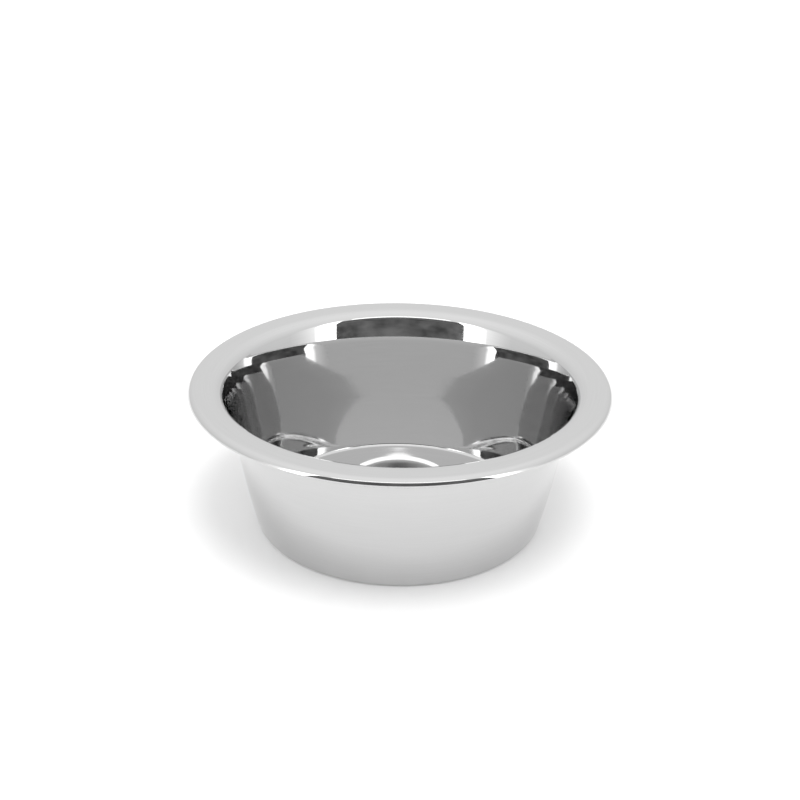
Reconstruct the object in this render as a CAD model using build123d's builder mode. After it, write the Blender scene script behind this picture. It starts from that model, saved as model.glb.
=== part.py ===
from build123d import *
from math import cos, radians, sin, tan
import os

# Stainless dog bowl, drawn from one sheet of steel: domed floor, flared wall, flat rim and hemmed edge.
# Millimetres, +Z up. The origin is on the surface that the bowl stands on, below its centre.

# Driving dimensions
SHEET = 0.5  # thickness of the steel
HEIGHT = 57.0  # from the standing surface to the top of the rim
RIM_DIAMETER = 160.0  # over the rolled edge
RIM_WIDTH = 12.0  # from the flare's inside, carried on straight, to the outside of the rim
LIP_RADIUS = 5.2  # bend from the flare to the rim, on the inside of the bowl
FLARE_TAPER = 21.3  # degrees that the flare under the rim leans out
FLARE_DEPTH = 8.0  # from the top of the rim down to the middle of the bend into the flare
FLARE_FLAT = 0.8  # straight of the flare, between its bend and the lip's
WALL_TAPER = 10.6  # degrees that the wall leans out
LOWER_TAPER = 14.4  # degrees that the foot of the wall leans out
LOWER_HEIGHT = 13.0  # from the standing surface to the middle of the bend over that part
LOWER_BEND = 280.0  # bend from the foot of the wall to the wall
CORNER_RADIUS = 1.6  # bend from the wall to the floor, on the inside of the bowl
EDGE_RADIUS = 2.8  # roll of the rim's outer edge, on its outside
EDGE_TURN = 68.0  # degrees that the edge is rolled down
HEM_RADIUS = 0.75  # fold at the end of the roll, on its outside
HEM_TURN = 170.0  # degrees that the hem is folded back under the rim
FOOT_WIDTH = 13.4  # ring that the bowl stands on, from the wall, carried on straight, to the dome
DOME_SLOPE = 4.0  # degrees that the floor rises from the ring to its middle
DOME_TOP = 12.0  # radius of the level middle of the floor, to the middle of its bend
DOME_BEND = 100.0  # bends at the foot and the top of that slope

# Radii and heights of the sheet's inside, the face that holds the food and tops the rim
mouth_radius = RIM_DIAMETER / 2 - RIM_WIDTH
flare_height = HEIGHT - FLARE_DEPTH
flare_radius = mouth_radius - FLARE_DEPTH * tan(radians(FLARE_TAPER))
flare_length = FLARE_DEPTH / cos(radians(FLARE_TAPER))
lip_length = LIP_RADIUS * tan(radians(90 - FLARE_TAPER) / 2)
flare_bend = (flare_length - lip_length - FLARE_FLAT) / tan(radians(FLARE_TAPER - WALL_TAPER) / 2)
lower_radius = flare_radius - (flare_height - LOWER_HEIGHT) * tan(radians(WALL_TAPER))
base_radius = lower_radius - (LOWER_HEIGHT - SHEET) * tan(radians(LOWER_TAPER))
dome_radius = base_radius - FOOT_WIDTH
dome_height = SHEET + (dome_radius - DOME_TOP) * tan(radians(DOME_SLOPE))
edge_start = RIM_DIAMETER / 2 - HEM_RADIUS - (EDGE_RADIUS - HEM_RADIUS) * sin(radians(EDGE_TURN))

os.makedirs("parts", exist_ok=True)

with BuildPart() as bowl:
    with BuildSketch(Plane.XZ):
        with BuildLine():
            drawn = FilletPolyline(
                (0, dome_height),
                (DOME_TOP, dome_height),
                (dome_radius, SHEET),
                (base_radius, SHEET),
                (lower_radius, LOWER_HEIGHT),
                (flare_radius, flare_height),
                (mouth_radius, HEIGHT),
                (edge_start, HEIGHT),
                radius=[DOME_BEND, DOME_BEND, CORNER_RADIUS, LOWER_BEND, flare_bend, LIP_RADIUS],
            )
            edge = JernArc(start=drawn @ 1, tangent=drawn % 1, radius=EDGE_RADIUS, arc_size=-EDGE_TURN)
            JernArc(start=edge @ 1, tangent=edge % 1, radius=HEM_RADIUS, arc_size=-HEM_TURN)
            offset(amount=SHEET, side=Side.RIGHT, closed=True, mode=Mode.ADD)
        make_face()
    revolve(axis=Axis.Z)

bowl.part.label = "bowl"
export_step(bowl.part, "parts/bowl.step")
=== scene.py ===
from math import atan, atan2, ceil, copysign, cos, pi, radians, sin, tan

import bpy
from mathutils import Matrix, Quaternion, Vector


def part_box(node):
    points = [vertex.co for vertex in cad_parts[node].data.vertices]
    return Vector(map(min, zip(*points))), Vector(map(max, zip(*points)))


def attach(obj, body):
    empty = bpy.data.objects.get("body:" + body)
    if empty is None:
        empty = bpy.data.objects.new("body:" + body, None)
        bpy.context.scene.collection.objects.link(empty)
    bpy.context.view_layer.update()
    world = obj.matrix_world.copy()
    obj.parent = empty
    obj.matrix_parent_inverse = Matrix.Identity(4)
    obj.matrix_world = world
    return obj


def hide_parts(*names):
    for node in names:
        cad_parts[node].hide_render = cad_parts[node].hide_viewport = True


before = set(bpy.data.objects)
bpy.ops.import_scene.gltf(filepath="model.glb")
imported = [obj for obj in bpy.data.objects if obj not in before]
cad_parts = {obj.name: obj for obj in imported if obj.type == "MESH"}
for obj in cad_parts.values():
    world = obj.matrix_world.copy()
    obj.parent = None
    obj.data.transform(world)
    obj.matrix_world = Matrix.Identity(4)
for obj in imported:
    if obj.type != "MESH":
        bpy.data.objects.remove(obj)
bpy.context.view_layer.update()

# Stainless dog bowl, one drawn sheet, with the sizes of the part's source.
# Metres, +Z up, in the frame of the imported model.
RIM_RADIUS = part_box("bowl")[1].x  # over the rolled edge
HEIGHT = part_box("bowl")[1].z  # from the standing surface to the top of the rim
SHEET = 0.0005  # thickness of the steel
RIM_WIDTH = 0.0120  # from the flare's inside, carried on straight, to the outside of the rim
LIP_RADIUS = 0.0052  # bend from the flare to the rim
FLARE_TAPER = radians(21.3)  # lean of the flare under the rim
FLARE_DEPTH = 0.0080  # from the top of the rim down to the middle of the bend into the flare
FLARE_FLAT = 0.0008  # straight of the flare, between its bend and the lip's
WALL_TAPER = radians(10.6)  # lean of the wall
LOWER_TAPER = radians(14.4)  # lean of the foot of the wall
LOWER_HEIGHT = 0.0130  # from the standing surface to the middle of the bend over that part
LOWER_BEND = 0.2800  # bend from the foot of the wall to the wall
CORNER_RADIUS = 0.0016  # bend from the wall to the floor
EDGE_RADIUS = 0.0028  # roll of the rim's outer edge
EDGE_TURN = radians(68)  # how far the edge is rolled down
HEM_RADIUS = 0.00075  # fold at the end of the roll
HEM_TURN = radians(170)  # how far the hem is folded back under the rim
FOOT_WIDTH = 0.0134  # ring that the bowl stands on, from the wall, carried on straight, to the dome
DOME_SLOPE = radians(4)  # rise of the floor from the ring to its middle
DOME_TOP = 0.0120  # radius of the level middle of the floor, to the middle of its bend
DOME_BEND = 0.1000  # bends at the foot and the top of that rise

# How finely the sheet is divided
SEGMENTS = 256
RUN_STEP = 0.004
BEND_STEP = 0.001
TURN_STEP = radians(5)

# Camera, with its picture in the photograph's pixels
PICTURE = 800  # width and height
FOCAL_PIXELS = 1456.0
RIM_PIXEL_X = 400.4  # where the middle of the rim lies in the picture
RIM_PIXEL_Y = 379.55
CAMERA_DISTANCE = 6.89 * RIM_RADIUS  # from the middle of the rim
CAMERA_ELEVATION = radians(24.8)
CAMERA_ROLL = radians(0.82)
SENSOR_MM = 36
CLIP_START = 0.01

# Finish of the steel
STEEL_BRIGHT = (0.615, 0.615, 0.615)
STEEL_DULL = (0.595, 0.595, 0.595)
POLISH = (0.03, 0.07)  # roughness where it is best and where it is hazed
HAZE_SIZE = 0.03  # of the hazed patches
HAZE_DETAIL = 4
HAZE_SWIRL = 0.6
HAZE_SPAN = (0.40, 0.75)  # noise at which haze begins and is full
LINE_PITCH = 0.0003  # between the buff's lines
LINE_BREAKS = 3.0  # how often a line changes along its turn
LINE_DETAIL = 2
LINE_DEPTH = 0.0000002
LINE_DULLING = 0.015  # change of the roughness, up or down
NOISE_SPAN = (0.3, 0.7)  # noise at which other patterns begin and are full
AXIS_RADIUS = 0.0005  # least radius of a line, so that nothing is divided by nought at the axis

# The polished inside mirrors itself many times over before the light finds its way out
BOUNCES = 16

# White tent with an opening for the camera, a lamp on each side of it and a strip light over it, all on an
# upright front. Widths and heights on the front are in parts of its distance.
FRONT = 0.60  # metres from the bowl's axis
OPENING_LEFT = -0.99
OPENING_RIGHT = 1.04
OPENING_TOP = 1.27
OPENING_SOFT = 0.12
OPENING_LIGHT = (0.08, 0.24)  # of the room's darkest and palest patches
OPENING_PATCH = 0.16  # size of those patches, in metres
LAMP_WIDTH = 0.63
LAMP_SOFT = 0.20
LAMP_TOP = 1.40
LAMP_LIGHT = 1.9
LAMP_GLOW = 1.1  # added beside the opening, fading outwards
LAMP_FADE = 1.05  # width over which that glow falls to about a third
LAMP_REACH = 4.0  # width of the panel, where little of the glow is left
STRIP_HALF = 0.85
STRIP_LOW = 1.40
STRIP_HIGH = 1.64
STRIP_LIGHT = 2.9
TENT_LOW = 0.86  # light of the tent at the horizon
TENT_HIGH = 1.20  # and overhead

# White floor, and a key light high over the front
FLOOR_HALF = 6.0
FLOOR_WHITE = 0.88
FLOOR_GLOW = 0.08  # added where the camera or the steel sees the floor, so that it comes out white
KEY_ELEVATION = radians(72)
KEY_RIGHT = radians(14)
KEY_SIZE = radians(22)
KEY_LIGHT = 1.0


def along_run(start, end):
    """Points and normals along a straight run."""
    direction = (end - start).normalized()
    steps = ceil((end - start).length / RUN_STEP)
    for i in range(1, steps + 1):
        yield start.lerp(end, i / steps), Vector((-direction.y, direction.x))


def along_bend(start, direction, radius, turn):
    """Points and normals round an arc. A positive turn bends to the left of the direction of travel."""
    left = Vector((-direction.y, direction.x))
    centre = start + left * copysign(radius, turn)
    steps = ceil(max(abs(turn) / TURN_STEP, abs(turn) * radius / BEND_STEP))
    for i in range(1, steps + 1):
        swing = Matrix.Rotation(turn * i / steps, 2)
        yield centre + swing @ (start - centre), swing @ left


def inside_face():
    """Points and normals of the face that holds the food and tops the rim, from the axis to the hem."""
    mouth_radius = RIM_RADIUS - RIM_WIDTH
    flare_height = HEIGHT - FLARE_DEPTH
    flare_radius = mouth_radius - FLARE_DEPTH * tan(FLARE_TAPER)
    lip_length = LIP_RADIUS * tan((pi / 2 - FLARE_TAPER) / 2)
    bend_length = FLARE_DEPTH / cos(FLARE_TAPER) - lip_length - FLARE_FLAT
    flare_bend = bend_length / tan((FLARE_TAPER - WALL_TAPER) / 2)
    lower_radius = flare_radius - (flare_height - LOWER_HEIGHT) * tan(WALL_TAPER)
    base_radius = lower_radius - (LOWER_HEIGHT - SHEET) * tan(LOWER_TAPER)
    dome_radius = base_radius - FOOT_WIDTH
    dome_height = SHEET + (dome_radius - DOME_TOP) * tan(DOME_SLOPE)
    edge_start = RIM_RADIUS - HEM_RADIUS - (EDGE_RADIUS - HEM_RADIUS) * sin(EDGE_TURN)
    rim_end = Vector((edge_start, HEIGHT))
    bends = (
        (Vector((DOME_TOP, dome_height)), DOME_BEND),
        (Vector((dome_radius, SHEET)), DOME_BEND),
        (Vector((base_radius, SHEET)), CORNER_RADIUS),
        (Vector((lower_radius, LOWER_HEIGHT)), LOWER_BEND),
        (Vector((flare_radius, flare_height)), flare_bend),
        (Vector((mouth_radius, HEIGHT)), LIP_RADIUS),
    )
    next_corners = [corner for corner, radius in bends[1:]] + [rim_end]
    face = [(Vector((0, dome_height)), Vector((0, 1)))]
    for (corner, radius), next_corner in zip(bends, next_corners):
        arriving = (corner - face[-1][0]).normalized()
        leaving = (next_corner - corner).normalized()
        turn = atan2(arriving.cross(leaving), arriving.dot(leaving))
        start = corner - arriving * radius * tan(abs(turn) / 2)
        face += along_run(face[-1][0], start)
        face += along_bend(start, arriving, radius, turn)
    level = Vector((1, 0))
    rolled = Vector((cos(EDGE_TURN), -sin(EDGE_TURN)))
    face += along_run(face[-1][0], rim_end)
    face += along_bend(rim_end, level, EDGE_RADIUS, -EDGE_TURN)
    face += along_bend(face[-1][0], rolled, HEM_RADIUS, -HEM_TURN)
    return face


def bowl_mesh():
    """The sheet turned about its axis, with the true normal at each point so that it mirrors cleanly."""
    top = inside_face()
    under = [(point - normal * SHEET, -normal) for point, normal in reversed(top)]
    outline = top + under
    rings = outline[1:-1]
    around = [2 * pi * i / SEGMENTS for i in range(SEGMENTS)]
    points = [Vector((p.x * cos(a), p.x * sin(a), p.y)) for p, n in rings for a in around]
    normals = [Vector((n.x * cos(a), n.x * sin(a), n.y)) for p, n in rings for a in around]
    faces = []
    for ring in range(len(rings) - 1):
        for i in range(SEGMENTS):
            here = ring * SEGMENTS + i
            beside = ring * SEGMENTS + (i + 1) % SEGMENTS
            faces.append((here, here + SEGMENTS, beside + SEGMENTS, beside))
    last = len(rings) * SEGMENTS - SEGMENTS
    for pole, ring, order in ((outline[0], 0, 1), (outline[-1], last, -1)):
        points.append(Vector((0, 0, pole[0].y)))
        normals.append(Vector((0, 0, pole[1].y)))
        for i in range(SEGMENTS):
            fan = (len(points) - 1, ring + i, ring + (i + 1) % SEGMENTS)
            faces.append(fan[::order])
    mesh = bpy.data.meshes.new("bowl_sheet")
    mesh.from_pydata(points, [], faces)
    mesh.polygons.foreach_set("use_smooth", [True] * len(faces))
    mesh.normals_split_custom_set_from_vertices(normals)
    mesh.validate()
    return mesh


def link_math(tree, operation, *values):
    """A maths node on sockets or plain numbers. Returns its output."""
    node = tree.nodes.new("ShaderNodeMath")
    node.operation = operation
    for socket, value in zip(node.inputs, values):
        if isinstance(value, bpy.types.NodeSocket):
            tree.links.new(value, socket)
        else:
            socket.default_value = value
    return node.outputs["Value"]


def link_range(tree, value, low, high, to_low, to_high):
    """The value's range from low to high, spread from to_low to to_high and held there outside it."""
    node = tree.nodes.new("ShaderNodeMapRange")
    tree.links.new(value, node.inputs["Value"])
    for name, number in zip(("From Min", "From Max", "To Min", "To Max"), (low, high, to_low, to_high)):
        node.inputs[name].default_value = number
    return node.outputs["Result"]


def polished_steel():
    """Mirror polish with the fine lines that a turning buff leaves, and a soft haze where it was handled."""
    material = bpy.data.materials.new("polished_steel")
    material.use_nodes = True
    tree = material.node_tree
    shader = tree.nodes["Principled BSDF"]
    shader.inputs["Metallic"].default_value = 1
    place = tree.nodes.new("ShaderNodeTexCoord").outputs["Object"]
    split = tree.nodes.new("ShaderNodeSeparateXYZ")
    tree.links.new(place, split.inputs["Vector"])
    x, y, z = split.outputs
    square = link_math(tree, "ADD", link_math(tree, "MULTIPLY", x, x), link_math(tree, "MULTIPLY", y, y))
    radius = link_math(tree, "MAXIMUM", link_math(tree, "SQRT", square), AXIS_RADIUS)

    # Lines round the axis: close together across the sheet, drawn out along the turn
    turned = tree.nodes.new("ShaderNodeCombineXYZ")
    for side, socket in ((x, turned.inputs["X"]), (y, turned.inputs["Y"])):
        along = link_math(tree, "DIVIDE", side, radius)
        tree.links.new(link_math(tree, "MULTIPLY", along, LINE_BREAKS), socket)
    tree.links.new(link_math(tree, "DIVIDE", radius, LINE_PITCH), turned.inputs["Z"])
    lines = tree.nodes.new("ShaderNodeTexNoise")
    lines.noise_dimensions = "4D"
    lines.inputs["Scale"].default_value = 1
    lines.inputs["Detail"].default_value = LINE_DETAIL
    tree.links.new(turned.outputs["Vector"], lines.inputs["Vector"])
    tree.links.new(link_math(tree, "DIVIDE", z, LINE_PITCH), lines.inputs["W"])

    haze = tree.nodes.new("ShaderNodeTexNoise")
    haze.inputs["Scale"].default_value = 1 / HAZE_SIZE
    haze.inputs["Detail"].default_value = HAZE_DETAIL
    haze.inputs["Distortion"].default_value = HAZE_SWIRL
    tree.links.new(place, haze.inputs["Vector"])

    dull = link_range(tree, haze.outputs["Fac"], *HAZE_SPAN, *POLISH)
    grain = link_range(tree, lines.outputs["Fac"], *NOISE_SPAN, -LINE_DULLING, LINE_DULLING)
    tree.links.new(link_math(tree, "ADD", dull, grain), shader.inputs["Roughness"])

    tint = tree.nodes.new("ShaderNodeMix")
    tint.data_type = "RGBA"
    colours = [socket for socket in tint.inputs if socket.type == "RGBA"]
    for socket, colour in zip(colours, (STEEL_DULL, STEEL_BRIGHT)):
        socket.default_value = (*colour, 1)
    tree.links.new(link_range(tree, lines.outputs["Fac"], *NOISE_SPAN, 0, 1), tint.inputs[0])
    mixed = [socket for socket in tint.outputs if socket.type == "RGBA"]
    tree.links.new(mixed[0], shader.inputs["Base Color"])

    bump = tree.nodes.new("ShaderNodeBump")
    bump.inputs["Strength"].default_value = 1
    bump.inputs["Distance"].default_value = LINE_DEPTH
    tree.links.new(lines.outputs["Fac"], bump.inputs["Height"])
    tree.links.new(bump.outputs["Normal"], shader.inputs["Normal"])
    return material


def add_bowl():
    bowl = bpy.data.objects.new("bowl_sheet", bowl_mesh())
    bpy.context.scene.collection.objects.link(bowl)
    bowl.data.materials.append(polished_steel())
    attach(bowl, "root")
    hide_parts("bowl")


def add_camera():
    data = bpy.data.cameras.new("camera")
    data.sensor_width = SENSOR_MM
    data.lens = SENSOR_MM * FOCAL_PIXELS / PICTURE
    data.clip_start = CLIP_START
    camera = bpy.data.objects.new("camera", data)
    bpy.context.scene.collection.objects.link(camera)
    back = Vector((0, -cos(CAMERA_ELEVATION), sin(CAMERA_ELEVATION)))
    camera.location = Vector((0, 0, HEIGHT)) + back * CAMERA_DISTANCE
    aim = (-back).to_track_quat("-Z", "Y")
    roll = Quaternion((0, 0, 1), CAMERA_ROLL)
    tilt = Quaternion((1, 0, 0), atan((RIM_PIXEL_Y - PICTURE / 2) / FOCAL_PIXELS))
    swing = Quaternion((0, 1, 0), atan((RIM_PIXEL_X - PICTURE / 2) / FOCAL_PIXELS))
    camera.rotation_mode = "QUATERNION"
    camera.rotation_quaternion = aim @ roll @ tilt @ swing
    bpy.context.scene.camera = camera


def add_panel(name, left, right, bottom, top):
    """A panel of the tent's front, seen only in the steel. Returns its node tree and its light."""
    mesh = bpy.data.meshes.new(name)
    corners = [(left, -1, bottom), (right, -1, bottom), (right, -1, top), (left, -1, top)]
    mesh.from_pydata([Vector(corner) * FRONT for corner in corners], [], [(0, 1, 2, 3)])
    panel = bpy.data.objects.new(name, mesh)
    bpy.context.scene.collection.objects.link(panel)
    panel.visible_camera = False
    panel.visible_diffuse = False
    panel.visible_shadow = False
    material = bpy.data.materials.new(name)
    material.use_nodes = True
    mesh.materials.append(material)
    tree = material.node_tree
    tree.nodes.remove(tree.nodes["Principled BSDF"])
    light = tree.nodes.new("ShaderNodeEmission")
    return tree, light


def link_surface(tree, shader):
    tree.links.new(shader, tree.nodes["Material Output"].inputs["Surface"])


def link_place(tree):
    """Where a point of a panel is, across and up, in parts of the front's distance."""
    split = tree.nodes.new("ShaderNodeSeparateXYZ")
    tree.links.new(tree.nodes.new("ShaderNodeTexCoord").outputs["Object"], split.inputs["Vector"])
    across = link_math(tree, "DIVIDE", split.outputs["X"], FRONT)
    up = link_math(tree, "DIVIDE", split.outputs["Z"], FRONT)
    return across, up


def add_lamp(name, edge, end):
    """A scrim that glows most beside the opening and lets the tent show through."""
    tree, light = add_panel(name, edge, end, 0, LAMP_TOP + LAMP_SOFT)
    across, up = link_place(tree)
    away = link_math(tree, "ABSOLUTE", link_math(tree, "SUBTRACT", across, edge))
    middle = link_range(tree, away, LAMP_WIDTH - LAMP_SOFT, LAMP_WIDTH + LAMP_SOFT, LAMP_LIGHT, 0)
    fading = link_math(tree, "EXPONENT", link_math(tree, "DIVIDE", away, -LAMP_FADE))
    glow = link_math(tree, "MULTIPLY_ADD", fading, LAMP_GLOW, middle)
    below_top = link_range(tree, up, LAMP_TOP - LAMP_SOFT, LAMP_TOP + LAMP_SOFT, 1, 0)
    tree.links.new(link_math(tree, "MULTIPLY", glow, below_top), light.inputs["Strength"])
    both = tree.nodes.new("ShaderNodeAddShader")
    tree.links.new(tree.nodes.new("ShaderNodeBsdfTransparent").outputs["BSDF"], both.inputs[0])
    tree.links.new(light.outputs["Emission"], both.inputs[1])
    link_surface(tree, both.outputs["Shader"])


def add_strip():
    """The strip light over the opening."""
    tree, light = add_panel("strip", -STRIP_HALF, STRIP_HALF, STRIP_LOW, STRIP_HIGH)
    light.inputs["Strength"].default_value = STRIP_LIGHT
    link_surface(tree, light.outputs["Emission"])


def add_opening():
    """The dim room that the camera stands in, with a soft top edge."""
    tree, light = add_panel("opening", OPENING_LEFT, OPENING_RIGHT, 0, OPENING_TOP + OPENING_SOFT)
    patches = tree.nodes.new("ShaderNodeTexNoise")
    patches.inputs["Scale"].default_value = 1 / OPENING_PATCH
    tree.links.new(tree.nodes.new("ShaderNodeTexCoord").outputs["Object"], patches.inputs["Vector"])
    dim = link_range(tree, patches.outputs["Fac"], *NOISE_SPAN, *OPENING_LIGHT)
    tree.links.new(dim, light.inputs["Strength"])
    up = link_place(tree)[1]
    closed = link_range(tree, up, OPENING_TOP - OPENING_SOFT, OPENING_TOP + OPENING_SOFT, 1, 0)
    both = tree.nodes.new("ShaderNodeMixShader")
    tree.links.new(closed, both.inputs[0])
    tree.links.new(tree.nodes.new("ShaderNodeBsdfTransparent").outputs["BSDF"], both.inputs[1])
    tree.links.new(light.outputs["Emission"], both.inputs[2])
    link_surface(tree, both.outputs["Shader"])


def add_floor():
    mesh = bpy.data.meshes.new("floor")
    corners = [(-1, -1, 0), (1, -1, 0), (1, 1, 0), (-1, 1, 0)]
    mesh.from_pydata([Vector(corner) * FLOOR_HALF for corner in corners], [], [(0, 1, 2, 3)])
    floor = bpy.data.objects.new("floor", mesh)
    bpy.context.scene.collection.objects.link(floor)
    material = bpy.data.materials.new("white_floor")
    material.use_nodes = True
    tree = material.node_tree
    shader = tree.nodes["Principled BSDF"]
    shader.inputs["Base Color"].default_value = (FLOOR_WHITE, FLOOR_WHITE, FLOOR_WHITE, 1)
    shader.inputs["Roughness"].default_value = 1
    shader.inputs["Specular IOR Level"].default_value = 0
    shader.inputs["Emission Color"].default_value = (1, 1, 1, 1)
    path = tree.nodes.new("ShaderNodeLightPath")
    looked_at = link_math(tree, "ADD", path.outputs["Is Camera Ray"], path.outputs["Is Glossy Ray"])
    looked_at = link_math(tree, "ADD", looked_at, path.outputs["Is Transmission Ray"])
    tree.links.new(link_math(tree, "MULTIPLY", looked_at, FLOOR_GLOW), shader.inputs["Emission Strength"])
    mesh.materials.append(material)


def add_tent():
    """White all round, a little brighter overhead."""
    world = bpy.data.worlds.new("white_tent")
    bpy.context.scene.world = world
    world.use_nodes = True
    tree = world.node_tree
    background = tree.nodes["Background"]
    background.inputs["Color"].default_value = (1, 1, 1, 1)
    split = tree.nodes.new("ShaderNodeSeparateXYZ")
    tree.links.new(tree.nodes.new("ShaderNodeTexCoord").outputs["Generated"], split.inputs["Vector"])
    light = link_range(tree, split.outputs["Z"], 0, 1, TENT_LOW, TENT_HIGH)
    tree.links.new(light, background.inputs["Strength"])


def add_key():
    """A large soft lamp that lights the floor. The steel shows the tent, not this lamp."""
    data = bpy.data.lights.new("key", "SUN")
    data.energy = KEY_LIGHT
    data.angle = KEY_SIZE
    key = bpy.data.objects.new("key", data)
    bpy.context.scene.collection.objects.link(key)
    level = Vector((sin(KEY_RIGHT), -cos(KEY_RIGHT), 0))
    towards = level * cos(KEY_ELEVATION) + Vector((0, 0, sin(KEY_ELEVATION)))
    key.rotation_mode = "QUATERNION"
    key.rotation_quaternion = towards.to_track_quat("Z", "Y")
    key.visible_glossy = False


def add_stage():
    add_key()
    add_floor()
    add_tent()
    add_opening()
    add_lamp("lamp_left", OPENING_LEFT, OPENING_LEFT - LAMP_REACH)
    add_lamp("lamp_right", OPENING_RIGHT, OPENING_RIGHT + LAMP_REACH)
    add_strip()


add_bowl()
add_camera()
add_stage()
bpy.context.scene.view_settings.view_transform = "Standard"
bpy.context.scene.cycles.max_bounces = BOUNCES
bpy.context.scene.cycles.glossy_bounces = BOUNCES
